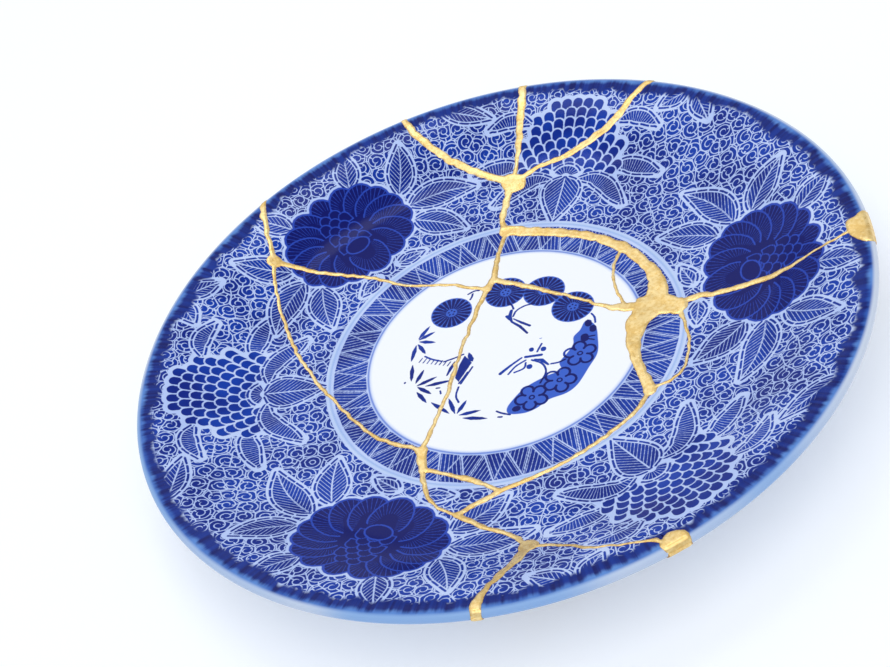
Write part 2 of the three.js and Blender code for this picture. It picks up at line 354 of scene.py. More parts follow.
def break_routes():
    """Each break as points (x, y, width of the gold) in millimetres, with a real crack's small wander."""
    routes = []
    for number, route in enumerate(BREAKS):
        controls = np.array([KNOTS[p] if isinstance(p, str) else p for p in route])
        controls *= (RIM_RADIUS, RIM_RADIUS, SEAM_SHARE)
        if len(route) > 2:
            controls[0, 2] = min(controls[0, 2], controls[1, 2] * KNOT_FLARE)
            controls[-1, 2] = min(controls[-1, 2], controls[-2, 2] * KNOT_FLARE)
        points = curve_points(controls, CRACK_STEP)
        chance = np.random.default_rng(CRACK_SEED + number)
        fade = np.minimum(1.0, np.minimum(np.arange(len(points)), np.arange(len(points))[::-1]) / 2.0)
        points[:, :2] += chance.normal(0, CRACK_WANDER, (len(points), 2)) * fade[:, None]
        points[:, 2] *= 1.0 + chance.normal(0, WIDTH_WANDER, len(points)) * fade
        routes.append(curve_points(points, ROUTE_STEP))
    return routes


# Depths: how far in millimetres places lie inside a shape, less than zero outside it

def line_depth(points, widths, x, y):
    """The depth in a line of varying width."""
    start, run = points[:-1], np.diff(points, axis=0)
    dx, dy = x[..., None] - start[:, 0], y[..., None] - start[:, 1]
    t = np.clip((dx * run[:, 0] + dy * run[:, 1]) / ((run ** 2).sum(1) + 1e-12), 0, 1)
    gap = np.hypot(dx - t * run[:, 0], dy - t * run[:, 1])
    return ((widths[:-1] * (1 - t) + widths[1:] * t) / 2 - gap).max(-1)


def shape_depth(outline, x, y):
    """The depth in a closed outline."""
    run = np.roll(outline, -1, 0) - outline
    dx, dy = x[..., None] - outline[:, 0], y[..., None] - outline[:, 1]
    t = np.clip((dx * run[:, 0] + dy * run[:, 1]) / ((run ** 2).sum(1) + 1e-12), 0, 1)
    gap = np.hypot(dx - t * run[:, 0], dy - t * run[:, 1]).min(-1)
    crosses = (dy < 0) != (dy < run[:, 1])
    inside = (crosses & (dx < run[:, 0] * dy / (run[:, 1] + 1e-12))).sum(-1) % 2 == 1
    return np.where(inside, gap, -gap)


def distance_along(line, x, y):
    """How far along a line its place nearest to each (x, y) is."""
    run = np.diff(line, axis=0)
    length = np.hypot(*run.T)
    dx, dy = x[:, None] - line[:-1, 0], y[:, None] - line[:-1, 1]
    t = np.clip((dx * run[:, 0] + dy * run[:, 1]) / (length ** 2 + 1e-12), 0, 1)
    nearest = np.hypot(dx - t * run[:, 0], dy - t * run[:, 1]).argmin(1)
    before = np.concatenate([[0], np.cumsum(length)])[nearest]
    return before + t[np.arange(len(x)), nearest] * length[nearest]


def curve_through(controls, step=0.8):
    """A smooth line through flat places."""
    return curve_points(np.column_stack([controls, np.zeros(len(controls))]), step)[:, :2]


def left_of(line):
    """The unit direction to the left of a line, at each of its points."""
    along = np.gradient(line, axis=0)
    along /= np.hypot(along[:, 0], along[:, 1])[:, None]
    return np.stack([-along[:, 1], along[:, 0]], 1)


def mirrored(side, points):
    """Places of a motif, turned over to its left where side is -1."""
    return np.array(points, float) * (side, 1)


def around(count, first=0.0, last=2 * math.pi):
    """Unit directions at even angles, from the first to the last."""
    turn = np.linspace(first, last, count)
    return np.stack([np.cos(turn), np.sin(turn)], 1)


# The printed pattern

class Print:
    """The pattern as depths in millimetres at each point of the upper face.

    ink is solid blue, hatch the areas of fine strokes, phase the count of strokes across them,
    ground the area of small scrolls, and wash the paler blue that lies under the rest."""

    def __init__(self, points):
        self.points = points
        radius = np.hypot(*points.T)
        self.ink, self.hatch, self.wash = (np.full(len(points), FAR_OUTSIDE) for _ in range(3))
        self.phase = np.zeros(len(points))
        self.ground = np.minimum(radius - GROUND_INNER, GROUND_OUTER - radius)

    def turn_to(self, angle, radius, reach):
        """Works from a place on the face: u runs along the rim, clockwise, and v outward."""
        out = np.array([math.cos(math.radians(angle)), math.sin(math.radians(angle))])
        offset = self.points - out * radius
        u, v = offset @ (out[1], -out[0]), offset @ out
        close = np.nonzero(np.hypot(u, v) < reach)[0]
        self.index = close[np.argsort(u[close])]
        self.u, self.v = u[self.index], v[self.index]

    def near(self, shape, margin):
        """The points in the box round a shape, and their u and v."""
        low, high = np.min(shape, 0) - margin, np.max(shape, 0) + margin
        first, last = np.searchsorted(self.u, (low[0], high[0]))
        here = np.arange(first, last)
        here = here[(self.v[here] > low[1]) & (self.v[here] < high[1])]
        return self.index[here], self.u[here], self.v[here]

    def stroke(self, line, widths=0.95, layer="ink"):
        """A line whose width goes evenly through the widths given."""
        line = np.asarray(line, float)
        share = np.linspace(0, 1, len(line))
        widths = np.interp(share, np.linspace(0, 1, np.size(widths)), np.ravel(widths))
        here, u, v = self.near(line, widths.max() / 2 + 1)
        held = getattr(self, layer)
        held[here] = np.maximum(held[here], line_depth(line, widths, u, v))

    def fill(self, outline, inset=0.0, layer="ink"):
        """Solid colour in an outline."""
        outline = np.asarray(outline, float)
        here, u, v = self.near(outline, 1 - min(0, inset))
        held = getattr(self, layer)
        held[here] = np.maximum(held[here], shape_depth(outline, u, v) - inset)

    def carve(self, line, width=0.6):
        """A pale line through all that is printed there."""
        line = np.asarray(line, float)
        here, u, v = self.near(line, width / 2 + 1)
        depth = line_depth(line, np.full(len(line), width), u, v)
        for held in (self.ink, self.hatch, self.ground):
            held[here] = np.minimum(held[here], -depth)

    def clear(self, outline, halo, ground_halo):
        """Takes what was drawn out of an outline and a halo round it."""
        outline = np.asarray(outline, float)
        here, u, v = self.near(outline, ground_halo + 1)
        depth = shape_depth(outline, u, v)
        for held in (self.ink, self.hatch):
            held[here] = np.minimum(held[here], -depth - halo)
        self.ground[here] = np.minimum(self.ground[here], -depth - ground_halo)

    def stripe(self, outline, count, inset=0.0):
        """Fine strokes in an outline. Count gives how many strokes lie before a place."""
        outline = np.asarray(outline, float)
        here, u, v = self.near(outline, 1)
        depth = shape_depth(outline, u, v) - inset
        deeper = depth > self.hatch[here]
        self.hatch[here[deeper]] = depth[deeper]
        self.phase[here[deeper]] = count(u[deeper], v[deeper])

    def dashes(self, line, width=0.85, length=4.0, gap=0.75):
        """A broken line with a pale gap on both sides."""
        steps = np.hypot(*np.diff(line, axis=0).T)
        travel = np.concatenate([[0], np.cumsum(steps)])
        for at in np.arange(gap, travel[-1] - length * 0.5, length + gap):
            stops = np.linspace(at, min(at + length, travel[-1]), 5)
            piece = np.stack([np.interp(stops, travel, line[:, k]) for k in (0, 1)], 1)
            self.carve(piece, width + 0.95)
            self.stroke(piece, width)


def leaf(sheet, base, tip, width, bend=0.0, belly=0.42):
    """A leaf with slanting strokes on both sides of its pale midrib and a broken contour round it."""
    base, tip = np.asarray(base, float), np.asarray(tip, float)
    run = (tip - base) / np.hypot(*(tip - base))
    side_way = np.array([-run[1], run[0]])
    t = np.linspace(0, 1, 19)[:, None]
    rib = base + (tip - base) * t + side_way * bend * np.sin(math.pi * t)
    across = left_of(rib)
    swell = np.sin(math.pi * t ** (math.log(0.5) / math.log(belly))) * width / 2
    sheet.clear(np.concatenate([rib + across * swell, (rib - across * swell)[-2:0:-1]]), 0.5, 2.0)
    for side in (-1, 1):
        half = np.concatenate([rib, (rib + side * across * swell)[-2:0:-1]])
        cross = side_way * 0.76 - side * run * 0.65
        sheet.stripe(half, lambda u, v: (u * cross[0] + v * cross[1]) / HATCH)
    sheet.carve(rib[1:-1], 0.55)
    for side in (-1, 1):
        sheet.dashes(rib + side * across * (swell + 1.0 - 0.5 * t))


def wing(sheet, crest, depth, side):
    """A curved plume of close strokes that hang from its crest."""
    crest = curve_through(crest)
    share = np.linspace(0, 1, len(crest))[:, None]
    inward = -side * left_of(crest) * depth * np.sin(math.pi * np.clip(share, 0.04, 0.97)) ** 0.55
    outline = np.concatenate([crest, (crest + inward)[::-1]])
    sheet.clear(outline, 0.5, 2.0)
    sheet.stripe(outline, lambda u, v: distance_along(crest, u, v) / HATCH)
    sheet.dashes(crest - inward / depth)
    sheet.dashes(crest + inward * (1 + 1.0 / depth))


def dome(u, v, half, high, low, tilt=0.0, foot=1.0):
    """A scale's outline: a round top on sides that narrow to the foot's share of the width."""
    fall = np.linspace(0, 1, 5)[1:]
    reach = half * (foot + (1 - foot) * np.cos(fall * math.pi / 2))
    left, right = np.stack([-reach, -low * fall], 1), np.stack([reach, -low * fall], 1)
    points = np.concatenate([around(11, 0, math.pi) * (half, high), left, right[::-1]])
    c, s = math.cos(tilt), math.sin(tilt)
    return points @ np.array([[c, -s], [s, c]]) + (u, v)


def scale_cloud(sheet):
    """Arched rows of round-topped scales, each row over the foot of the row outside it."""
    for row, half in enumerate(SCALE_ROWS):
        count = round(2 * half / SCALE_SPACING)
        for i in range(count + row % 2):
            u = (i - (count - 1 + row % 2) / 2) * SCALE_SPACING
            v = SCALE_TOP - row * SCALE_RISE - u * u / (2 * SCALE_ARCH)
            outline = dome(u, v, SCALE_SPACING / 2, 2.1, SCALE_RISE * 0.75, u / SCALE_ARCH)
            sheet.clear(outline, 0.3, 1.4)
            sheet.fill(outline, 0.3)


def cloud_cap(sheet):
    """The small fan of strokes between the scales and the hanging leaf."""
    arc = around(13, 0.12 * math.pi, 0.88 * math.pi)
    fan = np.concatenate([arc * 5.4, arc[::-1] * 2.0]) + (0, CAP_MIDDLE)
    sheet.clear(fan, 1.9, 2.2)
    sheet.stripe(fan, lambda u, v: np.arctan2(v - CAP_MIDDLE, u) * 4.6 / HATCH)
    sheet.dashes(arc * 6.5 + (0, CAP_MIDDLE))


def cloud_motif(sheet, angle):
    """A cloud of scales with plumes on both sides and a leaf that hangs to the middle."""
    sheet.turn_to(angle, MOTIF_RADIUS, 66)
    for base, tip, width in RIM_LEAVES:
        leaf(sheet, base, tip, width)
    for side in (-1, 1):
        wing(sheet, mirrored(side, MIDDLE_PLUME), 5.4, side)
    scale_cloud(sheet)
    for side in (-1, 1):
        wing(sheet, mirrored(side, OUTER_PLUME), 4.4, side)
        wing(sheet, mirrored(side, INNER_PLUME), 5.6, side)
    cloud_cap(sheet)
    leaf(sheet, (0, -8.6), (0, -31.8), 14, belly=0.33)


def petal(sheet, u, v, tilt, half, high):
    """One lobe of the peony: a shell with fine strokes from its solid root to its pale outline."""
    outline = dome(u, v, half, high, 9, tilt, 0.3)
    sheet.clear(outline, 0.4, 1.6)
    sheet.fill(outline, -0.7, "wash")
    out, side = np.array([[math.sin(tilt), math.cos(tilt)], [math.cos(tilt), -math.sin(tilt)]])
    root = np.array([u, v]) - out * high * 0.25

    def count(u, v):
        offset = np.stack([u - root[0], v - root[1]], 1)
        return np.arctan2(offset @ side, offset @ out) * high * 0.75 / HATCH

    sheet.stripe(outline, count, 0.25)
    sheet.stroke([root - out * 5, root + out * 2.5], (half * 1.6, half * 0.9))


def peony_heart(sheet):
    """The peony's solid middle: a stack of scales with an oval core at its foot."""
    sheet.fill(dome(0, 3, 7.5, 11.5, 10))
    for row in range(6):
        for i in range(2 + row % 2):
            u = (i - (1 + row % 2) / 2) * 4.8
            outline = dome(u, 12 - row * 2.8, 2.4, 2.2, 2.6)
            sheet.clear(outline, 0.26, 1)
            sheet.fill(outline, 0.26)
    core = around(25)[:-1] * (5.2, 3.6) - (0, 4.6)
    sheet.clear(core, 0.34, 1)
    sheet.fill(core, 0.34)
    sheet.fill(dome(0, 3, 8.5, 13, 11), 0, "wash")


def peony_motif(sheet, angle):
    """A peony of fine-stroked lobes round its heart, with leaves on both sides."""
    sheet.turn_to(angle, PEONY_RADIUS, 62)
    for side in (-1, 1):
        for base, tip, width, bend in PEONY_LEAVES:
            leaf(sheet, *mirrored(side, [base, tip]), width, side * bend)
    for u, v, tilt, half, high in PEONY_LOBES:
        for side in (-1, 1) if u else (1,):
            petal(sheet, side * u, v, side * math.radians(tilt), half, high)
    peony_heart(sheet)


def triangle_band(sheet):
    """The ring of hatched triangles round the white middle, their apexes by turns outward and inward."""
    sheet.turn_to(90, 0, BAND_OUTER + 2)
    share = math.pi / TRIANGLES
    for i in range(2 * TRIANGLES):
        base, apex = (BAND_INNER, BAND_OUTER) if i % 2 else (BAND_OUTER, BAND_INNER)
        corners = [(base, i - 1), (apex, i), (base, i + 1)]
        corners = np.array([(r * math.cos(k * share), r * math.sin(k * share)) for r, k in corners])
        run = corners[1] - corners[0] if i // 2 % 2 else corners[2] - corners[1]
        run /= np.hypot(*run)
        sheet.stripe(corners, lambda u, v: (v * run[0] - u * run[1]) / (HATCH * 1.15), 0.26)


def rosette(sheet, place, radius):
    """A chrysanthemum of narrow strokes round five dots, on a wash."""
    for way in around(23)[:-1]:
        sheet.stroke([place + way * radius * 0.34, place + way * radius], (0.5, 1.5))
    for way in around(6, 0.3, 0.3 + 2 * math.pi)[:-1]:
        sheet.stroke([place + way * 1.15, place + way * 1.2], 0.8)
    sheet.fill(place + (radius + 1.2) * around(25), 0, "wash")


def blossom(sheet, place, radius, start):
    """A plum blossom: five round petals in outline and a ring at the heart."""
    for k in range(5):
        angle = start + k * 0.4 * math.pi
        middle = place + radius * 0.6 * np.array([math.cos(angle), math.sin(angle)])
        arc = around(14, angle - 0.75 * math.pi, angle + 0.75 * math.pi)
        sheet.stroke(middle + radius * 0.36 * arc)
    sheet.stroke(place + 0.9 * around(12), 0.6)


def medallion(sheet):
    """The round of plants in the white middle."""
    sheet.turn_to(90, 0, CENTRE_EDGE - 3.4)

    def at(points):
        return (np.array(points, float) - PLANT_MIDDLE) * (PLANT_STEP, -PLANT_STEP)

    for spot in ROSETTES:
        rosette(sheet, at(spot), ROSETTE_RADIUS)
    sheet.fill(curve_through(at(GARLAND + GARLAND[:1])), 0, "wash")
    for spot, radius, start in BLOSSOMS:
        blossom(sheet, at(spot), radius, start)
    for base, tip in BAMBOO:
        base, tip = at([base, tip])
        sheet.stroke([base, base * 0.65 + tip * 0.35, base * 0.25 + tip * 0.75, tip], (0.4, 1.75, 1.3, 0.2))
    for line in TWIGS:
        sheet.stroke(curve_through(at(line)), 0.8)
    for line, width in BOLD:
        sheet.stroke(at(line), width)
    for outline in SOLIDS:
        sheet.fill(at(outline))
    for k in range(8):
        start = at((132 + 21 * k, 508 + 10 * k))
        sheet.stroke([start, start + (-1.3, -1.9)], 0.5)


def print_pattern(points):
    """The whole pattern. What is drawn later lies over what was drawn before."""
    sheet = Print(points)
    for angle in CLOUD_ANGLES:
        cloud_motif(sheet, angle)
    for angle in PEONY_ANGLES:
        peony_motif(sheet, angle)
    triangle_band(sheet)
    medallion(sheet)
    return sheet


# The dish's plan: rings of points, with fewer points on a ring where the rings get small

class Plan:
    """All points and triangles of the upper face, seen from above, in millimetres."""

    def __init__(self):
        inner = np.concatenate([np.arange(FINE_STEP, FINE_RADIUS, FINE_STEP),
                                np.arange(FINE_RADIUS, LIP_GRID + 0.01, RING_STEP)])
        self.radii = np.concatenate([inner, RIM_RADIUS - np.array(LIP_STEPS)])
        halvings = np.where(self.radii < HALF_RADIUS, 1, 0)
        for part in (2, 4, 8, 16):
            halvings += self.radii < FINE_RADIUS / part
        self.sectors = RIM_SECTORS // 2 ** halvings
        self.starts = np.concatenate([[1], 1 + np.cumsum(self.sectors)])
        ring = np.repeat(np.arange(len(self.radii)), self.sectors)
        number = np.arange(len(ring)) - (self.starts[:-1] - 1)[ring]
        angle = 2 * math.pi * number / self.sectors[ring]
        flat = np.stack([self.radii[ring] * np.cos(angle), self.radii[ring] * np.sin(angle)], 1)
        self.points = np.concatenate([[[0.0, 0.0]], flat])
        self.ring = np.concatenate([[-1], ring])
        self.number = np.concatenate([[0], number])
        self.triangles = np.concatenate(self.hub() + [self.belt(i) for i in range(1, len(self.radii))])

    def hub(self):
        """The triangles round the middle point."""
        count = self.sectors[0]
        here = np.arange(count)
        return [np.stack([np.zeros(count, int), 1 + here, 1 + (here + 1) % count], 1)]

    def belt(self, i):
        """The triangles between one ring and the next ring inward."""
        outer, inner = self.sectors[i], self.sectors[i - 1]
        here = np.arange(inner)
        low = self.starts[i - 1] + here
        low_next = self.starts[i - 1] + (here + 1) % inner
        share = outer // inner
        high = [self.starts[i] + (here * share + k) % outer for k in range(share + 1)]
        if share == 1:
            parts = [(low, high[0], high[1]), (low, high[1], low_next)]
        else:
            parts = [(low, high[0], high[1]), (low, high[1], low_next), (low_next, high[1], high[2])]
        return np.concatenate([np.stack(part, 1) for part in parts])


# Which shard each place belongs to

def tree_of(names):
    """A search tree of the frame's pieces, in millimetres, and the piece of each of its faces."""
    points, faces, owner = [], [], []
    for number, name in enumerate(names):
        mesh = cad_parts[name].data
        offset = len(points)
        points.extend(tuple(v.co / MM) for v in mesh.vertices)
        for face in mesh.polygons:
            faces.append([offset + i for i in face.vertices])
            owner.append(number)
    return BVHTree.FromPolygons(points, faces), np.array(owner)


def label_points(plan):
    """Which shard each plan point belongs to, and whether it lies on that shard or in a seam beside it.

    A ray goes down a hair nearer the middle than its point, so that those on the rim meet a shard too."""
    tree, owner = tree_of(SHARDS)
    label = np.zeros(len(plan.points), int)
    on_shard = np.zeros(len(plan.points), bool)
    down = Vector((0, 0, -1))
    heights = upper_height(np.hypot(*plan.points.T))
    for i, ((x, y), z) in enumerate(zip(plan.points.tolist(), heights.tolist())):
        hit = tree.ray_cast((x * 0.9995, y * 0.9995, z + 5), down)
        if hit[0] is not None:
            on_shard[i] = True
        else:
            hit = tree.find_nearest((x, y, z - HALF_WALL))
        label[i] = owner[hit[2]]
    return label, on_shard


def whole_triangles(plan, label):
    """The triangles with all corners on one shard, without those that meet their shard in one point."""
    corners = label[plan.triangles]
    kept = (corners == corners[:, :1]).all(1)
    while True:
        edges = outer_edges(plan.triangles[kept])
        touches = np.bincount(edges.ravel(), minlength=len(label))
        pinched = touches > 2
        bad = pinched[plan.triangles].any(1) & kept
        if not bad.any():
            return kept
        kept &= ~bad


def outer_edges(triangles):
    """The edges with a triangle on one side only, in the triangle's direction."""
    pairs = np.concatenate([triangles[:, [0, 1]], triangles[:, [1, 2]], triangles[:, [2, 0]]])
    size = int(pairs.max()) + 1
    forward = pairs[:, 0].astype(np.int64) * size + pairs[:, 1]
    backward = pairs[:, 1].astype(np.int64) * size + pairs[:, 0]
    return pairs[~np.isin(forward, backward)]


def loops_of(edges):
    """The closed rounds that the edges make, the longest first."""
    after = dict(edges.tolist())
    loops = []
    while after:
        start, here = next(iter(after.items()))
        loop = [start]
        del after[start]
        while here != start:
            loop.append(here)
            here = after.pop(here)
        loops.append(loop)
    return sorted(loops, key=len, reverse=True)


def meet_in_middle(plan, label, on_shard, edges):
    """Moves the points at the shards' edges to the middle of the seam, so that the shards meet there."""
    moved = plan.points.copy()
    trees = [tree_of([name])[0] for name in SHARDS]
    beside = neighbour_labels(plan, label)
    for i in np.unique(edges):
        if beside[i] < 0:
            continue
        x, y = plan.points[i]
        height = float(upper_height(math.hypot(x, y))) - HALF_WALL
        other = trees[beside[i]].find_nearest((x, y, height))
        own = trees[label[i]].find_nearest((x, y, height))
        own_gap = 0.0 if on_shard[i] else own[3]
        start = np.array([x, y]) if on_shard[i] else np.array(own[0][:2])
        way = np.array(other[0][:2]) - start
        length = np.hypot(*way)
        if length > 1e-6:
            step = np.clip((other[3] - own_gap) / 2 - GLUE_LINE, *EDGE_SHIFT)
            moved[i] += way / length * step
    radius = np.hypot(*plan.points.T)
    keep = radius > LIP_GRID
    now = np.hypot(*moved.T)
    moved[keep] *= (radius[keep] / now[keep])[:, None]
    return moved


def neighbour_labels(plan, label):
    """For each plan point, another shard's number where one of its triangles reaches that shard, or -1."""
    beside = np.full(len(label), -1)
    for a, b in ((0, 1), (1, 2), (2, 0), (1, 0), (2, 1), (0, 2)):
        one, two = plan.triangles[:, a], plan.triangles[:, b]
        differs = label[one] != label[two]
        beside[one[differs]] = label[two[differs]]
    return beside


# Node maths

class Shade:
    """A value in a tree of nodes that can be added and multiplied like a number."""

    def __init__(self, tree, socket=None):
        self.tree = tree
        self.socket = socket

    def node(self, kind, inputs=None, output=0, **settings):
        """A new node with its settings, then the values or links of its inputs. Gives one output."""
        made = self.tree.nodes.new(kind)
        for key, value in settings.items():
            setattr(made, key, value)
        for key, value in (inputs or {}).items():
            if isinstance(value, Shade):
                self.tree.links.new(value.socket, made.inputs[key])
            else:
                made.inputs[key].default_value = value
        return Shade(self.tree, None if output is None else made.outputs[output])

    def also(self, output):
        """Another output of the node that gives this value."""
        return Shade(self.tree, self.socket.node.outputs[output])

    def math(self, operation, first, second=0.0):
        return self.node("ShaderNodeMath", {0: first, 1: second}, operation=operation)

    def __add__(self, other):
        return self.math("ADD", self, other)

    def __radd__(self, other):
        return self.math("ADD", other, self)

    def __sub__(self, other):
        return self.math("SUBTRACT", self, other)

    def __rsub__(self, other):
        return self.math("SUBTRACT", other, self)

    def __mul__(self, other):
        return self.math("MULTIPLY", self, other)

    def __rmul__(self, other):
        return self.math("MULTIPLY", other, self)

    def size(self):
        return self.math("ABSOLUTE", self)

    def floor(self):
        return self.math("FLOOR", self)

    def from_half(self):
        """How far the part after the decimal point is from one half."""
        return (self.math("FRACT", self) - 0.5).size()

    def feed(self, shader, name):
        """Links this value to an input of the shader."""
        self.tree.links.new(self.socket, shader.inputs[name])

    def least(self, other):
        return self.math("MINIMUM", self, other)

    def most(self, other):
        return self.math("MAXIMUM", self, other)

    def value(self, name):
        """A number kept at the mesh's points."""
        return self.node("ShaderNodeAttribute", output=2, attribute_name=name)

    def step(self, low, high):
        """From 0 to 1, softly, as this value goes from low to high."""
        return self.node("ShaderNodeMapRange", {"Value": self, "From Min": low, "From Max": high},
                         interpolation_type="SMOOTHSTEP")

    def between(self, low, high, soft):
        """1 between low and high and 0 outside them, with soft edges."""
        return self.step(low - soft, low + soft) * (1.0 - self.step(high - soft, high + soft))

    def mix(self, first, second):
        """The first colour where this value is 0, the second where it is 1."""
        return self.node("ShaderNodeMix", {0: self, 6: first, 7: second}, 2, data_type="RGBA")

    def noise(self, place, scale, detail=2.0):
        return self.node("ShaderNodeTexNoise", {"Vector": place, "Scale": scale, "Detail": detail})


def colour(red, green, blue):
    """A colour as it looks on a screen, 0 to 255, as the shader wants it."""
    def linear(part):
        part /= 255
        return part / 12.92 if part <= 0.04045 else ((part + 0.055) / 1.055) ** 2.4
    return (linear(red), linear(green), linear(blue), 1.0)


# Shards

def new_object(name, points, faces, values, material, tree=None):
    """A mesh object at the origin. Values maps attribute names to one number for each point, and tree
    holds geometry nodes that finish the mesh."""
    mesh = bpy.data.meshes.new(name)
    mesh.from_pydata(points.tolist(), [], faces)
    mesh.update()
    for key, numbers in values.items():
        kept = mesh.attributes.new(key, "FLOAT", "POINT")
        kept.data.foreach_set("value", np.asarray(numbers, np.float32))
    mesh.materials.append(material)
    mesh.polygons.foreach_set("use_smooth", [True] * len(mesh.polygons))
    mesh.set_sharp_from_angle(angle=math.radians(40))
    piece = bpy.data.objects.new(name, mesh)
    bpy.context.scene.collection.objects.link(piece)
    if tree:
        piece.modifiers.new(tree.name, "NODES").node_group = tree
        bpy.context.view_layer.update()
        finished = piece.evaluated_get(bpy.context.evaluated_depsgraph_get())
        plain = bpy.data.meshes.new_from_object(finished)
        piece.modifiers.clear()
        piece.data = plain
    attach(piece, "root")
    return piece


def under_faces(plan, loop, inside):
    """Triangles for the lower face within a loop of plan points, with a few plan points inside it."""
    ring, number = plan.ring[inside], plan.number[inside]
    near_foot = np.abs(plan.radii[ring] - FOOT_RADIUS + FOOT_WIDTH / 2) < FOOT_WIDTH / 2 + FOOT_MARGIN
    coarse = int(UNDER_STEP / RING_STEP)
    pick = np.where(near_foot, number % 4 == 0, (ring % coarse == 0) & (number % (coarse + 4) == 0))
    chosen = np.concatenate([loop, inside[pick]])
    flat = [Vector(p) for p in plan.points[chosen].tolist()]
    border = list(range(len(loop)))
    _, _, faces, point_origins, _, face_origins = delaunay_2d_cdt(flat, [], [border], 1, 1e-5, True)
    source = [origins[0] for origins in point_origins]
    return [[int(chosen[source[i]]) for i in face] for face, origin in zip(faces, face_origins) if origin]


def floor_below(plan, inner):
    """The lower face's triangles below those of the upper face that lie inside the lip."""
    if not len(inner):
        return []
    edges = outer_edges(inner)
    inside = np.setdiff1d(np.unique(inner), edges.ravel())
    beside_edge = np.unique(inner[np.isin(inner, edges.ravel()).any(1)])
    free = np.setdiff1d(inside, beside_edge)
    return under_faces(plan, loops_of(edges)[0], free[plan.ring[free] >= 0])


def side_faces(edges, top_index, low_index):
    """The broken side at each edge. Where the upper and lower faces share a point, it is a triangle."""
    faces = []
    for a, b in edges.tolist():
        corners = [low_index[a], low_index[b], top_index[b], top_index[a]]
        faces.append([int(v) for k, v in enumerate(corners) if v not in corners[:k]])
    return faces


def shard_mesh(plan, sheet, triangles):
    """A shard's points, faces and attributes: printed face, lip, lower face and the broken sides."""
    radius = np.hypot(*plan.points.T)
    on_lip = radius[triangles].min(1) > LIP_GRID - 0.01
    off_rim = plan.ring != len(plan.radii) - 1
    edges = outer_edges(triangles)
    below = floor_below(plan, triangles[~on_lip])
    lip_below = triangles[on_lip][:, ::-1]
    used = np.unique(triangles)
    low_used = np.unique(np.concatenate([np.ravel(part) for part in (lip_below, edges, *below)]))
    low_used = low_used[off_rim[low_used]]
    top_index = np.full(len(radius), -1)
    top_index[used] = np.arange(len(used))
    low_index = top_index.copy()
    low_index[low_used] = len(used) + np.arange(len(low_used))
    faces = top_index[triangles].tolist() + low_index[lip_below].tolist()
    faces += [[int(low_index[i]) for i in face[::-1]] for face in below]
    faces += side_faces(edges[off_rim[edges].any(1)], top_index, low_index)
    chosen = np.concatenate([used, low_used])
    spots = sheet.points[chosen]
    reach = np.hypot(*spots.T)
    top = np.arange(len(chosen)) < len(used)
    heights = np.where(top, upper_height(reach), under_height(reach))
    values = {"under": 1.0 - top}
    for key in ("ink", "hatch", "phase", "ground", "wash"):
        values[key] = getattr(sheet, key)[chosen]
    return np.column_stack([spots, heights]) * MM, faces, values


def build_shards(material):
    """One glazed piece for each shard of the solid model."""
    plan = Plan()
    label, on_shard = label_points(plan)
    kept = whole_triangles(plan, label)
    triangles = plan.triangles[kept]
    owner = label[triangles[:, 0]]
    edges = np.concatenate([outer_edges(triangles[owner == i]) for i in range(len(SHARDS))])
    sheet = print_pattern(meet_in_middle(plan, label, on_shard, edges))
    for number, name in enumerate(SHARDS):
        points, faces, values = shard_mesh(plan, sheet, triangles[owner == number])
        shard = new_object("glazed_" + name, points, faces, values, material)
        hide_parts(name)


# Gold

def joined(depth, other):
    """The depth in either of two places, with a soft corner where they meet."""
    blend = np.clip(1 - np.abs(depth - other) / CORNER_REACH, 0, 1) * (other > CORNER_LIMIT)
    return np.maximum(depth, other) + blend ** 2 * CORNER_FILL


def seam_plan():
    """A square plan and how deep each of its places lies inside the gold."""
    half = RIM_RADIUS + GRID_MARGIN
    axis = np.linspace(-half, half, int(2 * half / GOLD_STEP) + 1)
    x, y = np.meshgrid(axis, axis)
    depth = np.full(x.shape, FAR_OUTSIDE)
    for route in break_routes():
        for start in range(0, len(route) - 1, ROUTE_PART):
            part = route[start:start + ROUTE_PART + 1]
            line, widths = part[:, :2], part[:, 2]
            margin = widths.max() / 2 + SEAM_MARGIN
            low = np.searchsorted(axis, line.min(0) - margin)
            high = np.searchsorted(axis, line.max(0) + margin)
            area = slice(low[1], high[1]), slice(low[0], high[0])
            depth[area] = joined(depth[area], line_depth(line, widths, x[area], y[area]))
    wobble = 0.5 + KNOT_WANDER * waves(x, y, 9.0, 5)
    for knot_x, knot_y, width in KNOTS.values():
        depth = joined(depth, width * wobble - np.hypot(x - knot_x * RIM_RADIUS, y - knot_y * RIM_RADIUS))
    return x, y, depth


def cut_triangles(level, size):
    """Splits a square grid into triangles and keeps the part where level is above zero.

    Gives the triangles and, for each new point, the two grid points it lies between."""
    i, j = np.meshgrid(np.arange(size - 1), np.arange(size - 1))
    corner = (j * size + i).ravel()
    squares = np.stack([corner, corner + 1, corner + size + 1, corner + size], 1)
    squares = squares[(level[squares] > 0).any(1)]
    cells = np.concatenate([squares[:, [0, 1, 2]], squares[:, [0, 2, 3]]])
    above = level[cells] > 0
    count = above.sum(1)
    whole = cells[count == 3]
    one = turn_first(cells[count == 1], above[count == 1])
    two = turn_first(cells[count == 2], ~above[count == 2])
    cuts = {}

    def cut(a, b):
        key = (a, b) if a < b else (b, a)
        return cuts.setdefault(key, size * size + len(cuts))

    faces = whole.tolist()
    for a, b, c in one.tolist():
        faces.append([a, cut(a, b), cut(a, c)])
    for a, b, c in two.tolist():
        faces.append([b, c, cut(a, c)])
        faces.append([b, cut(a, c), cut(a, b)])
    return np.array(faces), np.array(list(cuts), int)


def turn_first(cells, chosen):
    """Turns each triangle so that its one chosen corner comes first."""
    first = chosen.argmax(1)
    return np.take_along_axis(cells, (first[:, None] + np.arange(3)) % 3, 1)


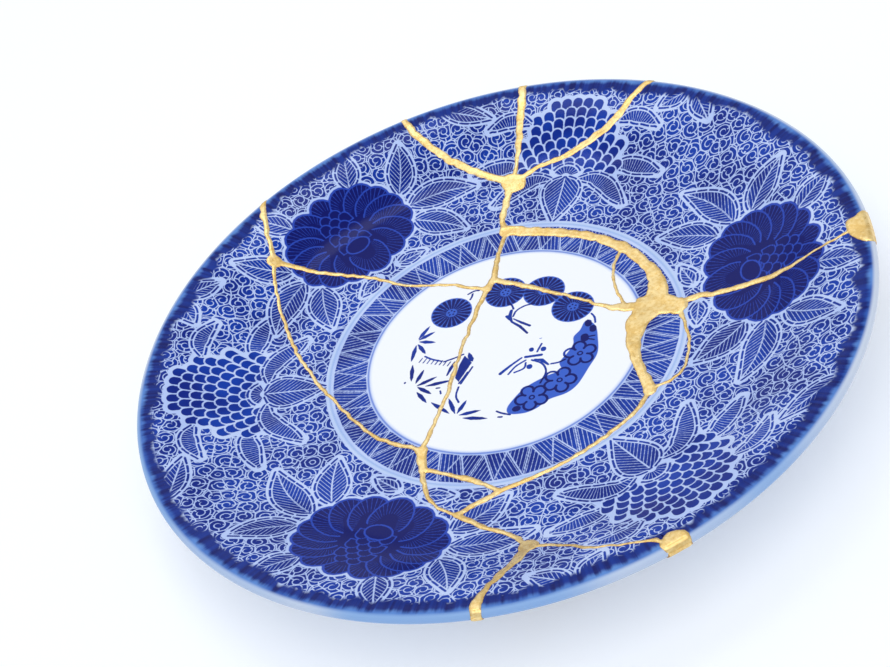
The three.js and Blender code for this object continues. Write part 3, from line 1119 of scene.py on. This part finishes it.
def bead_tree(material):
    """Geometry nodes that raise the gold's two faces into an uneven bead, but never below the table."""
    tree = bpy.data.node_groups.new("gold_bead", "GeometryNodeTree")
    tree.interface.new_socket("Geometry", in_out="INPUT", socket_type="NodeSocketGeometry")
    tree.interface.new_socket("Geometry", in_out="OUTPUT", socket_type="NodeSocketGeometry")
    sizes = {"Bead Height": BEAD_HEIGHT, "Bead Shoulder": BEAD_SHOULDER, "Bead Waves": BEAD_WAVES,
             "Wave Length": WAVE_LENGTH}
    for name, size in sizes.items():
        tree.interface.new_socket(name, in_out="INPUT", socket_type="NodeSocketFloat").default_value = size
    nodes = Shade(tree)
    given = nodes.node("NodeGroupInput")
    edge = nodes.node("GeometryNodeInputNamedAttribute", {"Name": "edge"}, data_type="FLOAT")
    side = nodes.node("GeometryNodeInputNamedAttribute", {"Name": "side"}, data_type="FLOAT")
    place = nodes.node("GeometryNodeInputPosition")
    scale = nodes.math("DIVIDE", 1 / MM, given.also("Wave Length"))
    lumps = (nodes.noise(place, scale, 1.0) - 0.5) * given.also("Bead Waves")
    rise = edge.step(0.0, given.also("Bead Shoulder")) * (given.also("Bead Height") + lumps)
    parts = nodes.node("ShaderNodeSeparateXYZ", {0: place})
    height = (parts.also(2) + rise * side * MM).most(0.0)
    raised = nodes.node("ShaderNodeCombineXYZ", {0: parts, 1: parts.also(1), 2: height})
    result = nodes.node("GeometryNodeSetPosition", {"Geometry": given, "Position": raised})
    result = nodes.node("GeometryNodeRealizeInstances", {0: result})
    result = nodes.node("GeometryNodeSetMaterial", {"Geometry": result, "Material": material})
    nodes.node("NodeGroupOutput", {0: result}, None)
    return tree


def gold_outline():
    """The gold seen from above: its places, their depths inside the seam, and its triangles."""
    x, y, depth = seam_plan()
    flat = np.stack([x.ravel(), y.ravel()], 1)
    depth = depth.ravel()
    depth += 0.08 * waves(*flat.T, 2.6, 8) + 0.04 * waves(*flat.T, 1.3, 9)
    level = np.minimum(depth, RIM_RADIUS + GOLD_PAST_RIM - np.hypot(*flat.T))
    level = np.where(np.abs(level) < 0.004, 0.004, level)
    faces, pairs = cut_triangles(level, len(x))
    a, b = pairs.T
    share = level[a] / (level[a] - level[b])
    flat = np.concatenate([flat, flat[a] * (1 - share)[:, None] + flat[b] * share[:, None]])
    depth = np.concatenate([depth, depth[a] * (1 - share) + depth[b] * share])
    used, faces = np.unique(faces, return_inverse=True)
    return flat[used], np.maximum(depth[used], 0), faces.reshape(-1, 3)


def build_gold(material):
    """The gold that fills every seam and chip, from just above the glaze to just below the dish."""
    spots, depth, faces = gold_outline()
    radius = np.hypot(*spots.T)
    top = upper_height(radius) + GOLD_PROUD
    beside = [under_height(radius + shift) for shift in (-GOLD_REACH, 0, GOLD_REACH)]
    low = np.min(beside, 0) - GOLD_PROUD
    count = len(spots)
    sides = [[a + count, b + count, b, a] for a, b in outer_edges(faces).tolist()]
    points = np.concatenate([np.column_stack([spots, top]), np.column_stack([spots, low])]) * MM
    all_faces = faces.tolist() + (faces[:, ::-1] + count).tolist() + sides
    values = {"edge": np.tile(depth, 2), "side": np.repeat([1, -1], count)}
    gold = new_object("gold_mend", points, all_faces, values, material, bead_tree(material))
    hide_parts("gold_seam")


# Materials

def material_base(name):
    """A new material, its shader node and a Shade to build values with."""
    material = bpy.data.materials.new(name)
    material.use_nodes = True
    tree = material.node_tree
    return material, tree.nodes["Principled BSDF"], Shade(tree)


def place_on_piece(shade):
    """The place on a piece in millimetres."""
    place = shade.node("ShaderNodeTexCoord", output=3)
    return shade.node("ShaderNodeVectorMath", {0: place, 3: 1 / MM}, operation="SCALE")


def scrolls(shade, flat):
    """How deep a place lies inside the ground's curls: spirals in uneven cells, cut into short arcs."""
    inputs = {"Vector": flat, "Scale": 1 / SCROLL_CELL, "Randomness": 0.72}
    cell = shade.node("ShaderNodeTexVoronoi", inputs, voronoi_dimensions="2D")
    border = shade.node("ShaderNodeTexVoronoi", inputs, voronoi_dimensions="2D", feature="DISTANCE_TO_EDGE")
    chance = shade.node("ShaderNodeSeparateColor", {0: cell.also("Color")})
    flip = chance.also(1).step(0.34, 0.36) * 2.0 - 1.0
    offset = shade.node("ShaderNodeVectorMath", {0: flat, 1: cell.also("Position")}, operation="SUBTRACT")
    distance = shade.node("ShaderNodeVectorMath", {0: offset}, 1, operation="LENGTH")
    parts = shade.node("ShaderNodeSeparateXYZ", {0: offset})
    turn = shade.math("ARCTAN2", parts.also(1), parts) * flip * (0.5 / math.pi) + chance
    arm = distance * (1 / SCROLL_PITCH) + 0.1 - turn
    depth = SCROLL_STROKE / 2 - arm.from_half() * SCROLL_PITCH
    depth = depth.most(SCROLL_DOT - distance)
    lap = arm.floor()
    cuts = lap + 2.0
    ray = turn * cuts + lap * 0.37 + chance * 5.0
    away = shade.math("DIVIDE", ray.from_half() * distance * (2 * math.pi), cuts)
    away = away + distance.step(1.5, 1.3) * 2.0
    return depth.least(away - SCROLL_CUT).least(border * SCROLL_CELL - SCROLL_BORDER)


def pale_parts(radius, gap):
    """The colour between the strokes, with the white middle, its blue edge line and the pale ring, which is
    pale blue glaze whitened outward by a painted highlight on its ridge.
    """
    gap = radius.step(CENTRE_EDGE - 1.5, CENTRE_EDGE + 0.5).mix(colour(246, 249, 252), gap)
    # The pale ring: pale blue glaze, painted whiter towards its outer edge as a painted highlight where its
    # low ridge catches the light
    ring = radius.step(BAND_OUTER, GROUND_INNER).mix(colour(128, 164, 226), colour(206, 222, 246))
    gap = radius.between(BAND_OUTER + 0.8, GROUND_INNER - 0.6, 0.45).mix(gap, ring)
    edge_line = radius.between(CENTRE_EDGE, CENTRE_EDGE + 0.6, 0.45) * 0.9
    return edge_line.mix(gap, colour(64, 104, 204))


def printed_face(shade, flat, radius):
    """Blue strokes over pale gaps, both darker where there is wash."""
    wash = shade.value("wash").step(-0.15, 0.25)
    fine = shade.noise(flat, 0.9, 3.0)
    patches = shade.noise(flat, 0.045, 3.0).step(0.35, 0.65)
    strokes = HATCH_SHARE / 2 * HATCH - shade.value("phase").from_half() * HATCH
    ink = shade.value("ink").most(shade.value("hatch").least(strokes))
    ink = ink.most(shade.value("ground").least(scrolls(shade, flat)))
    printed = (ink + (fine - 0.5) * 0.3).step(-0.13, 0.13)
    blue = wash.mix(patches.mix(colour(2, 32, 128), colour(10, 60, 168)), colour(2, 14, 100))
    gap = pale_parts(radius, patches.mix(colour(178, 198, 242), colour(198, 214, 248)))
    gap = wash.mix(gap, radius.step(44, 50).mix(colour(56, 96, 200), colour(38, 70, 178)))
    return printed.mix(gap, blue)


def rim_glaze(shade, face, worn, radius, outward):
    """The dark blue that ran together near the rim, the thinner glaze outside it and the worn lip."""
    streaks = shade.noise(outward, 60.0, 3.0).step(0.3, 0.7)
    blotches = shade.noise(outward, 11.0, 3.0).step(0.3, 0.7)
    dark = (radius + streaks * 1.6 + blotches * 3.4).step(*DARK_GLAZE)
    face = dark.mix(face, streaks.mix(colour(4, 18, 96), colour(16, 50, 142)))
    thin = (radius + (streaks - 0.5) * 1.2 + blotches).step(*THIN_GLAZE)
    face = thin.mix(face, blotches.mix(colour(48, 92, 178), colour(92, 138, 208)))
    return radius.step(*WORN_LIP).mix(face, worn)


def lower_glaze(radius, worn):
    """The plain pale glaze below, and the bare clay where the foot rests."""
    back = radius.step(*LIP_BELOW).mix(colour(225, 232, 244), worn)
    bare = radius.between(FOOT_RADIUS - FOOT_WIDTH + BARE_INSET, FOOT_RADIUS - BARE_INSET, 0.15)
    return bare.mix(back, colour(212, 203, 188))


def porcelain_material():
    """Glazed porcelain with the print on its upper face."""
    material, shader, shade = material_base("printed_porcelain")
    place = place_on_piece(shade)
    flat = shade.node("ShaderNodeVectorMath", {0: place, 1: (1, 1, 0)}, operation="MULTIPLY")
    radius = shade.node("ShaderNodeVectorMath", {0: flat}, 1, operation="LENGTH")
    outward = shade.node("ShaderNodeVectorMath", {0: flat}, operation="NORMALIZE")
    worn = shade.noise(outward, 1.3).step(0.4, 0.6).mix(colour(140, 176, 224), colour(204, 214, 230))
    face = rim_glaze(shade, printed_face(shade, flat, radius), worn, radius, outward)
    under = shade.value("under").step(0.3, 0.7)
    under.mix(face, lower_glaze(radius, worn)).feed(shader, "Base Color")
    shader.inputs["Roughness"].default_value = 0.13
    shader.inputs["Specular IOR Level"].default_value = 0.13
    return material


def gold_material():
    """Burnished gold powder on lacquer, browner where it thins out at a seam's edge."""
    material, shader, shade = material_base("gold_leaf")
    place = place_on_piece(shade)
    edge = shade.value("edge")
    fine = shade.noise(place, 0.8, 4.0)
    soft = shade.noise(place, 0.12, 2.0)
    tone = (soft * 0.5 + fine * 0.5).step(0.38, 0.62).mix(colour(230, 192, 116), colour(252, 224, 160))
    tone = (edge + (fine - 0.5) * 0.25).step(-0.02, 0.18).mix(colour(184, 136, 72), tone)
    tone.feed(shader, "Base Color")
    (0.2 + fine * 0.22).feed(shader, "Roughness")
    shader.inputs["Metallic"].default_value = 0.85
    bump = shade.node("ShaderNodeBump", {"Height": fine, "Strength": 0.35, "Distance": 0.0002})
    bump.feed(shader, "Normal")
    return material


# The view

def set_camera():
    """A camera that looks down on the dish from the south, turned a little on its own axis."""
    camera = bpy.data.objects.new("camera", bpy.data.cameras.new("camera"))
    bpy.context.scene.collection.objects.link(camera)
    right = Vector((0.95819, 0.0, -0.28613))
    up = Vector((0.21151, 0.67345, 0.70832))
    forward = Vector((-0.19269, 0.73923, -0.64530))
    place = Vector((0.6875, -3.1665, 2.862)) * RIM_RADIUS * MM + Vector((0, 0, FLOOR_TOP * MM))
    turn = Matrix((right, up, -forward)).transposed().to_4x4()
    camera.matrix_world = Matrix.Translation(place) @ turn
    camera.data.lens = 64.72
    camera.data.sensor_width = 36.0
    camera.data.shift_x, camera.data.shift_y = 0.0013, -0.0022
    camera.data.clip_start = 0.01
    bpy.context.scene.camera = camera


def area_light(name, place, target, size, power):
    """A soft rectangular light that shines from a place towards a target."""
    light = bpy.data.objects.new(name, bpy.data.lights.new(name, "AREA"))
    light.data.shape = "RECTANGLE"
    light.data.size, light.data.size_y = size
    light.data.energy = power
    bpy.context.scene.collection.objects.link(light)
    way = Vector(target) - Vector(place)
    turn = way.to_track_quat("-Z", "Y").to_matrix().to_4x4()
    light.matrix_world = Matrix.Translation(Vector(place)) @ turn


def set_light():
    """A pale room with a window behind the dish, a small skylight and a broad ceiling light."""
    world = bpy.data.worlds.new("room")
    world.use_nodes = True
    world.node_tree.nodes["Background"].inputs["Color"].default_value = (0.92, 0.95, 1.0, 1.0)
    world.node_tree.nodes["Background"].inputs["Strength"].default_value = 0.72
    bpy.context.scene.world = world
    area_light("window", (-0.5, 0.9, 1.1), (0, 0, 0), (1.0, 0.9), 1.5)
    area_light("skylight", (-0.12, 0.5, 1.2), (-0.03, 0.08, 0), (0.6, 0.25), 1.2)
    area_light("ceiling", (0.1, -0.6, 1.5), (0, 0, 0), (1.6, 1.6), 8.5)


def build_floor():
    """The plain pale ground that the dish stands on."""
    material, shader = material_base("pale_floor")[:2]
    shader.inputs["Base Color"].default_value = colour(244, 247, 251)
    shader.inputs["Emission Color"].default_value = (1, 1, 1, 1)
    shader.inputs["Emission Strength"].default_value = 0.1
    shader.inputs["Roughness"].default_value = 0.9
    mesh = bpy.data.meshes.new("floor")
    half, low = 6.0, -0.0002
    corners = [(-half, -half, low), (half, -half, low), (half, half, low), (-half, half, low)]
    mesh.from_pydata(corners, [], [(0, 1, 2, 3)])
    mesh.materials.append(material)
    floor = bpy.data.objects.new("floor", mesh)
    bpy.context.scene.collection.objects.link(floor)


build_shards(porcelain_material())
build_gold(gold_material())
build_floor()
set_camera()
set_light()
bpy.context.scene.view_settings.view_transform = "Standard"
